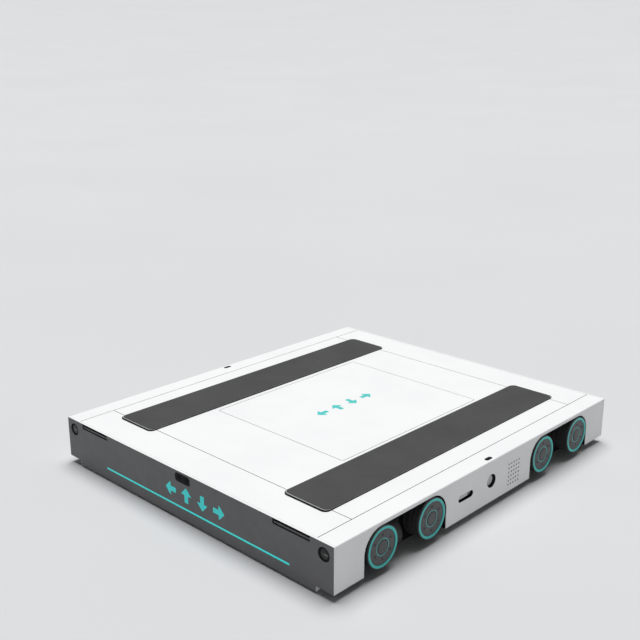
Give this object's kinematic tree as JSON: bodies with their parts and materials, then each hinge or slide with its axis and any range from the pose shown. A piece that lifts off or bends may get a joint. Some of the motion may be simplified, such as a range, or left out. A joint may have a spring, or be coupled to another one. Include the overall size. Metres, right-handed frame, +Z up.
{
  "type": "four-way shuttle robot",
  "caption": "Flat pallet shuttle with lifting pads on its deck, wheels in side wells for travel along rails and a second wheel set that lowers for travel across.",
  "frame": {"origin": "on the floor, under the middle of the body", "axes": "+X to the right side with the charge port, +Y to the rear end, +Z up"},
  "size_m": [1.006, 1.14, 0.1373],
  "materials": {
    "white_paint": "fine satin powder coat",
    "dark_panel": "satin dark grey powder coat",
    "pad_rubber": "matte ribless rubber",
    "wheel_tread": "moulded polyurethane",
    "steel": "turned steel",
    "alloy": "machined alloy",
    "black_plastic": "moulded black",
    "grey_plastic": "moulded grey",
    "lens": "polished dark window",
    "light_teal": "lit diffuser",
    "belt": "toothed belt",
    "motor_paint": "motor enamel"
  },
  "bodies": {
    "chassis": {"base_tray": "white_paint", "side_beam_right": "white_paint", "side_beam_left": "white_paint", "front_panel": "dark_panel", "rear_panel": "dark_panel", "front_end_cover": "white_paint", "rear_end_cover": "white_paint", "deck_cover": "white_paint", "access_hatch": "white_paint", "light_bars": "light_teal", "vision_sensors": "lens", "range_sensors": "black_plastic", "contact_bars": "grey_plastic", "pallet_sensors": "black_plastic", "charge_port": "grey_plastic", "speaker": "black_plastic", "button_housing": "grey_plastic", "battery_pack": "black_plastic", "control_box": "black_plastic", "drive_amplifier": "grey_plastic", "code_reader": "black_plastic", "travel_motor": "motor_paint", "travel_belt": "belt", "stub_axles": "steel", "axle_nuts": "steel", "wheel_bearings": "steel", "lift_columns": "alloy", "lift_motor": "motor_paint", "lift_belt": "belt", "change_actuators": "alloy", "carrier_guides": "steel"},
    "lift": {"lift_frame": "alloy", "lift_pad_right": "pad_rubber", "lift_pad_left": "pad_rubber"},
    "lift_pulley": {"lift_pulley": "steel"},
    "drive_axle": {"drive_axle": "steel", "travel_wheel_right_3": "wheel_tread", "travel_wheel_left_3": "wheel_tread"},
    "travel_pulley": {"travel_pulley": "steel"},
    "carrier_front": {"cross_carrier_front": "alloy", "cross_motor": "motor_paint", "cross_belt": "belt"},
    "carrier_rear": {"cross_carrier_rear": "alloy"},
    "cross_pulley": {"cross_pulley": "steel"},
    "power_button": {"power_button": "grey_plastic"},
    "lift_screw_1": {"lift_screw_1": "steel"},
    "lift_screw_2": {"lift_screw_2": "steel"},
    "lift_screw_3": {"lift_screw_3": "steel"},
    "lift_screw_4": {"lift_screw_4": "steel"},
    "travel_wheel_right_1": {"travel_wheel_right_1": "wheel_tread"},
    "travel_wheel_right_2": {"travel_wheel_right_2": "wheel_tread"},
    "travel_wheel_right_4": {"travel_wheel_right_4": "wheel_tread"},
    "cross_wheel_front_right": {"cross_wheel_front_right": "wheel_tread"},
    "cross_wheel_rear_right": {"cross_wheel_rear_right": "wheel_tread"},
    "travel_wheel_left_1": {"travel_wheel_left_1": "wheel_tread"},
    "travel_wheel_left_2": {"travel_wheel_left_2": "wheel_tread"},
    "travel_wheel_left_4": {"travel_wheel_left_4": "wheel_tread"},
    "cross_wheel_front_left": {"cross_wheel_front_left": "wheel_tread"},
    "cross_wheel_rear_left": {"cross_wheel_rear_left": "wheel_tread"}
  },
  "joints": [
    {"name": "lift", "type": "slide", "parent": "chassis", "child": "lift", "axis": [0, 0, 1], "range_m": [0, 0.03]},
    {"name": "lift_screw_1_turn", "type": "hinge", "parent": "chassis", "child": "lift_screw_1", "pos_m": [0.319, -0.18, 0.03], "axis": [0, 0, 1], "range_deg": [0, 1080]},
    {"name": "lift_screw_2_turn", "type": "hinge", "parent": "chassis", "child": "lift_screw_2", "pos_m": [0.319, 0.18, 0.03], "axis": [0, 0, 1], "range_deg": [0, 1080]},
    {"name": "lift_screw_3_turn", "type": "hinge", "parent": "chassis", "child": "lift_screw_3", "pos_m": [-0.319, 0.18, 0.03], "axis": [0, 0, 1], "range_deg": [0, 1080]},
    {"name": "lift_screw_4_turn", "type": "hinge", "parent": "chassis", "child": "lift_screw_4", "pos_m": [-0.319, -0.18, 0.03], "axis": [0, 0, 1], "range_deg": [0, 1080]},
    {"name": "lift_pulley_turn", "type": "hinge", "parent": "chassis", "child": "lift_pulley", "pos_m": [0, -0.204, 0.03], "axis": [0, 0, 1], "range_deg": [0, 1296]},
    {"name": "drive_axle_spin", "type": "hinge", "parent": "chassis", "child": "drive_axle", "pos_m": [0, 0.241, 0.07], "axis": [1, 0, 0], "continuous": true},
    {"name": "travel_pulley_spin", "type": "hinge", "parent": "chassis", "child": "travel_pulley", "pos_m": [0.24, 0.12, 0.07], "axis": [1, 0, 0], "continuous": true},
    {"name": "travel_wheel_right_1_spin", "type": "hinge", "parent": "chassis", "child": "travel_wheel_right_1", "pos_m": [0.486, -0.416, 0.07], "axis": [1, 0, 0], "continuous": true},
    {"name": "travel_wheel_right_2_spin", "type": "hinge", "parent": "chassis", "child": "travel_wheel_right_2", "pos_m": [0.486, -0.241, 0.07], "axis": [1, 0, 0], "continuous": true},
    {"name": "travel_wheel_right_4_spin", "type": "hinge", "parent": "chassis", "child": "travel_wheel_right_4", "pos_m": [0.486, 0.416, 0.07], "axis": [1, 0, 0], "continuous": true},
    {"name": "travel_wheel_left_1_spin", "type": "hinge", "parent": "chassis", "child": "travel_wheel_left_1", "pos_m": [-0.486, -0.416, 0.07], "axis": [1, 0, 0], "continuous": true},
    {"name": "travel_wheel_left_2_spin", "type": "hinge", "parent": "chassis", "child": "travel_wheel_left_2", "pos_m": [-0.486, -0.241, 0.07], "axis": [1, 0, 0], "continuous": true},
    {"name": "travel_wheel_left_4_spin", "type": "hinge", "parent": "chassis", "child": "travel_wheel_left_4", "pos_m": [-0.486, 0.416, 0.07], "axis": [1, 0, 0], "continuous": true},
    {"name": "carrier_front_rise", "type": "slide", "parent": "chassis", "child": "carrier_front", "axis": [0, 0, 1], "range_m": [0, 0.026]},
    {"name": "carrier_rear_rise", "type": "slide", "parent": "chassis", "child": "carrier_rear", "axis": [0, 0, 1], "range_m": [0, 0.026]},
    {"name": "cross_wheel_front_right_spin", "type": "hinge", "parent": "carrier_front", "child": "cross_wheel_front_right", "pos_m": [0.43, -0.3285, 0.044], "axis": [0, 1, 0], "continuous": true},
    {"name": "cross_wheel_front_left_spin", "type": "hinge", "parent": "carrier_front", "child": "cross_wheel_front_left", "pos_m": [-0.43, -0.3285, 0.044], "axis": [0, 1, 0], "continuous": true},
    {"name": "cross_wheel_rear_right_spin", "type": "hinge", "parent": "carrier_rear", "child": "cross_wheel_rear_right", "pos_m": [0.43, 0.3285, 0.044], "axis": [0, 1, 0], "continuous": true},
    {"name": "cross_wheel_rear_left_spin", "type": "hinge", "parent": "carrier_rear", "child": "cross_wheel_rear_left", "pos_m": [-0.43, 0.3285, 0.044], "axis": [0, 1, 0], "continuous": true},
    {"name": "cross_pulley_spin", "type": "hinge", "parent": "carrier_front", "child": "cross_pulley", "pos_m": [0.215, -0.3285, 0.044], "axis": [0, 1, 0], "continuous": true},
    {"name": "power_button_press", "type": "slide", "parent": "chassis", "child": "power_button", "axis": [-1, 0, 0], "range_m": [0, 0.003], "stiffness_N_per_m": 500, "springref_m": -0.001}
  ],
  "couplings": [
    {"joint": "lift_screw_1_turn", "follows": "lift", "rad_per_m": 628.32},
    {"joint": "lift_screw_2_turn", "follows": "lift", "rad_per_m": 628.32},
    {"joint": "lift_screw_3_turn", "follows": "lift", "rad_per_m": 628.32},
    {"joint": "lift_screw_4_turn", "follows": "lift", "rad_per_m": 628.32},
    {"joint": "lift_pulley_turn", "follows": "lift", "rad_per_m": 753.98},
    {"joint": "travel_pulley_spin", "follows": "drive_axle_spin", "ratio": 1.6667},
    {"joint": "carrier_rear_rise", "follows": "carrier_front_rise", "ratio": 1},
    {"joint": "cross_pulley_spin", "follows": "cross_wheel_front_right_spin", "ratio": 1.6667}
  ]
}
